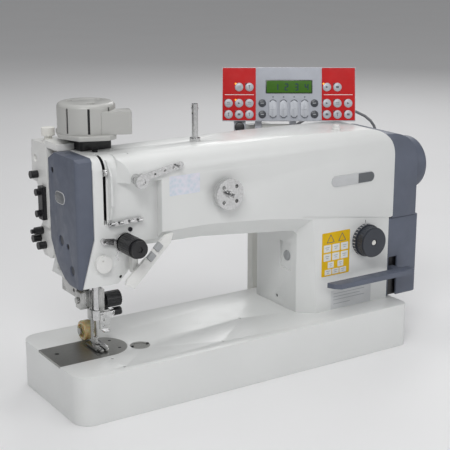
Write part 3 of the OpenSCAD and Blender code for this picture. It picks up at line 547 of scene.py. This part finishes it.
plate("label_back", capsule(24.3, 31.3, *LABEL, 1.5, 4), 0.25, LOWER_FRONT, YELLOW, HOME, 0)
cells = []
for row_z, xs, half_w, half_h, stroke in LABEL_ROWS:
    for x in xs:
        cells.append(plate("cell", capsule(half_w, half_h, x, row_z, 0.6, 2), 0.12, raised(0.25),
                           LABEL_WHITE, HOME, 0))
joined("label_cells", cells, LABEL_WHITE, HOME)
signs = []
SIGN_HALF, SIGN_LINE = 6.2, 0.45
for x in (LABEL[0] - 9.5, LABEL[0] + 10.5):
    low, high = LABEL[1] + 17.0, LABEL[1] + 28.0
    corners = [(x - SIGN_HALF, low), (x + SIGN_HALF, low), (x, high)]
    for (ax, az), (bx, bz) in zip(corners, corners[1:] + corners[:1]):
        length = math.hypot(bx - ax, bz - az)
        nx, nz = -(bz - az) / length * SIGN_LINE, (bx - ax) / length * SIGN_LINE
        bar = [(ax - nx, az - nz), (bx - nx, bz - nz), (bx + nx, bz + nz), (ax + nx, az + nz)]
        signs.append(plate("sign", bar, 0.12, raised(0.25), BADGE_DARK, HOME, 0))
joined("label_signs", signs, BADGE_DARK, HOME)
strokes = []
for row_z, xs, half_w, half_h, stroke in LABEL_ROWS:
    for x in xs:
        for dz, part in ((1.5, 1.0), (-1.3, 0.6)):
            strokes.append(plate("line", capsule(stroke * part, 0.5, x, row_z + dz, 0.4, 2), 0.08,
                                 raised(0.37), PRINT_GREY, HOME, 0))
joined("label_lines", strokes, PRINT_GREY, HOME)
plate("type_plate", capsule(36, 13.7, 443, 14.3, 0.6, 3), 0.3, LOWER_FRONT, LABEL_SILVER, HOME, 0.1)
RULE_START = 411
rules = [plate("rule", capsule(w, 0.45, RULE_START + w, z, 0.3, 2), 0.08, raised(0.3), PRINT_GREY, HOME, 0)
         for w, z in ((28, 23), (24, 18.5), (28, 14), (15, 8))]
joined("type_plate_rules", rules, PRINT_GREY, HOME)
plate("security_foil", capsule(22, 12.5, 170, 211.5, 1.2, 4), 0.15, FRONT, foil_shimmer(), HOME, 0)

# ---------------------------------------------------------------- small fittings
# Which way a fitting faces, as the right and up of its own frame
FACING = ((1, 0, 0), (0, 0, 1))
TO_RIGHT = ((0, 1, 0), (0, 0, 1))
TO_LEFT = ((0, -1, 0), (0, 0, 1))
UPWARDS = ((1, 0, 0), (0, 1, 0))
# Dark discs set a little inside each hole: painted shade at the bottom of the holes, black in the castings
# and dark slate in the face plate's two recesses
HOLES = [((67, 12.4, -1.5), 2.05, UPWARDS), ((67, 44, -1.5), 2.05, UPWARDS),
         ((215.3, 18.8, -1.5), 1.95, UPWARDS), ((281.7, 78.6, -1.5), 1.95, UPWARDS),
         ((84, 50, 103), 2.15, FACING),
         ((361.5, 102, 12), 2.45, TO_LEFT),
         ((30, 98, 146), 5.4, TO_LEFT), ((30, 69, 114), 5.0, TO_LEFT)]
FACE_PLATE_HOLES = 2
holes = [plate("hole", ellipse(r, r, 0, 0, 24), 0.2, axes(at(*p), *turn), BLACK, HOME, 0)
         for p, r, turn in HOLES]
joined("hole_shadows", holes[:-FACE_PLATE_HOLES], BLACK, HOME)
joined("face_plate_recess_shade", holes[-FACE_PLATE_HOLES:], DARK_SLATE, HOME)
# A black disc just under the bed top: painted shade inside the hook cover's finger hole
plate("finger_hole_shade", ellipse(2.9, 2.9, 0, 0, 24), 0.2, axes(at(14.9, 94.7, -1.4), *UPWARDS),
      BLACK, "hook_cover", 0)
# A black sheet inside the take-up lever's slot: painted shade of the slot's interior
take_up_slot = [(48.4, 172.4), (49.9, 172.4), (49.9, 176.3), (74.5, 176.3), (74.5, 252), (67, 254.5),
                (60, 253.3), (54.5, 249.5), (50.5, 244), (48.6, 237)]
plate("take_up_slot_shade", [(-y, z) for y, z in take_up_slot], 0.15, axes(at(66.98, 0, 0), *TO_LEFT),
      BLACK, HOME, 0)
MOTOR = (74.0, 110.5, 294.0)
# Black strips on the motor housing stand in for its vent slots: painted shade of the openings
VENT_RADIUS, VENT_COUNT, FIRST_VENT = 34.05, 8, 24
vents = []
for k in range(VENT_COUNT):
    a = math.radians(FIRST_VENT + 360 / VENT_COUNT * k)
    place = axes(at(MOTOR[0] + VENT_RADIUS * math.cos(a), MOTOR[1] + VENT_RADIUS * math.sin(a), MOTOR[2]),
                 (-math.sin(a), math.cos(a), 0), (0, 0, 1))
    vents.append(plate("vent", capsule(1.4, 15.3, 0, 0, 0.2, 2), 0.3, place, BLACK, HOME, 0))
joined("motor_vent_shade", vents, BLACK, HOME)
DIAL = (465.5, 94.0)
DIAL_RADIUS, DIAL_TICKS = 23, 30
ticks = []
for k in range(DIAL_TICKS):
    a = k * math.tau / DIAL_TICKS
    place = axes(at(DIAL[0] + DIAL_RADIUS * math.cos(a), 34.3, DIAL[1] + DIAL_RADIUS * math.sin(a)),
                 (0, 1, 0), (-math.sin(a), 0, math.cos(a)))
    ticks.append(plate("tick", capsule(2.4 if k % 5 else 2.9, 0.34, 0, 0, 0.2, 2), 0.06, place,
                       PRINT_WHITE, HOME, 0))
joined("dial_ticks", ticks, PRINT_WHITE, HOME)
plate("dial_index", capsule(0.5, 2.2, DIAL[0], DIAL[1] + 26.5, 0.3, 2), 0.1, LOWER_FRONT, KEY_DARK, HOME, 0)
lathe("dial_screw", [(3.9, 0), (3.9, 1.6), (3.2, 2.3), (1.2, 2.3), (1.0, 1.4), (0, 1.4)],
      axes(at(DIAL[0], 20, DIAL[1]), *FACING), CREAM, "dial", 32)
lathe("guide_knob_sleeve", [(5.2, 0.3), (5.5, 0.6), (5.5, 10.6), (4.9, 11.3), (0, 11.4)],
      axes(at(96.5, 98, 40), *TO_RIGHT), BLACK, "edge_guide_slider", 36)
lathe("oil_knob", [(6.2, -1), (6.2, 2.2), (5.2, 3.0), (5.2, 5.5), (4.4, 7.0), (0, 7.6)],
      axes(at(428, 62, 251), *UPWARDS), SMOOTH_WHITE, HOME, 36)
# A black sheet set back behind the cover's front near the column's right end: painted shade inside the
# cover's opening
plate("cover_opening_shade", capsule(10.5, 31.0, 520.5, 31.6, 0.5, 2), 0.4,
      axes(at(0, 44, 0), *FACING), BLACK, HOME, 0)
lathe("latch_knob", [(7.5, -3.0), (7.5, 1.0), (6.6, 2.6), (2.6, 3.1), (2.2, 2.4), (0, 2.4)],
      axes(at(364.3, 83, 76), *TO_LEFT), BUTTON_GREY, HOME, 36)
lathe("lead_plug", [(0, 0), (6.6, 0), (6.9, 0.8), (6.9, 6.5), (6.1, 7.4), (3.0, 7.8), (0, 7.8)],
      on_panel(-7) @ Matrix.Translation((-69.5 * MM, 0, -45.5 * MM)), BLACK, BODY, 40)

# ---------------------------------------------------------------- stage: floor and lights
def stage():
    bm = bmesh.new()
    bmesh.ops.create_grid(bm, x_segments=1, y_segments=1, size=30)
    mesh = bpy.data.meshes.new("floor")
    bm.to_mesh(mesh)
    bm.free()
    floor = bpy.data.objects.new("floor", mesh)
    floor.location = (0, 0, BED_LOW.z - 0.0002)
    m = Mat("floor_paint", (0.88, 0.88, 0.885), 0.6)
    m.tint(m.noise(3, 2), (0.865, 0.865, 0.87))
    mesh.materials.append(m.mat)
    bpy.context.scene.collection.objects.link(floor)


def area_light(name, place, target, size, power, color=(1, 1, 1)):
    data = bpy.data.lights.new(name, "AREA")
    data.shape = "RECTANGLE"
    data.size, data.size_y = size
    data.energy = power
    data.color = color
    light = bpy.data.objects.new(name, data)
    light.location = place
    light.rotation_euler = (Vector(target) - Vector(place)).to_track_quat("-Z", "Y").to_euler()
    bpy.context.scene.collection.objects.link(light)


def studio_world():
    """Bright overhead and dim low down, so that bright metal has something to reflect."""
    world = bpy.data.worlds.new("studio")
    bpy.context.scene.world = world
    world.use_nodes = True
    tree = world.node_tree
    coord = tree.nodes.new("ShaderNodeTexCoord")
    split = tree.nodes.new("ShaderNodeSeparateXYZ")
    ramp = tree.nodes.new("ShaderNodeValToRGB")
    stops = ramp.color_ramp.elements
    stops[0].position, stops[0].color = 0.0, (0.10, 0.105, 0.12, 1)
    stops[1].position, stops[1].color = 0.75, (1.0, 1.0, 1.0, 1)
    middle = stops.new(0.3)
    middle.color = (0.42, 0.43, 0.46, 1)
    tree.links.new(coord.outputs["Generated"], split.inputs["Vector"])
    tree.links.new(split.outputs["Z"], ramp.inputs["Fac"])
    tree.links.new(ramp.outputs["Color"], tree.nodes["Background"].inputs["Color"])
    tree.nodes["Background"].inputs["Strength"].default_value = 0.35


bpy.context.scene.view_settings.view_transform = "Standard"
stage()
studio_world()
area_light("key", (-1.3, -1.5, 2.0), (0, 0, 0.15), (1.3, 0.9), 27)
area_light("top", (0.2, 0.1, 2.4), (0, 0, 0), (2.2, 1.3), 15)
area_light("front_fill", (1.2, -2.2, 0.9), (0.1, 0, 0.2), (1.4, 1.0), 8)
area_light("rim", (1.6, 1.6, 1.6), (0, 0, 0.2), (1.2, 1.2), 12)
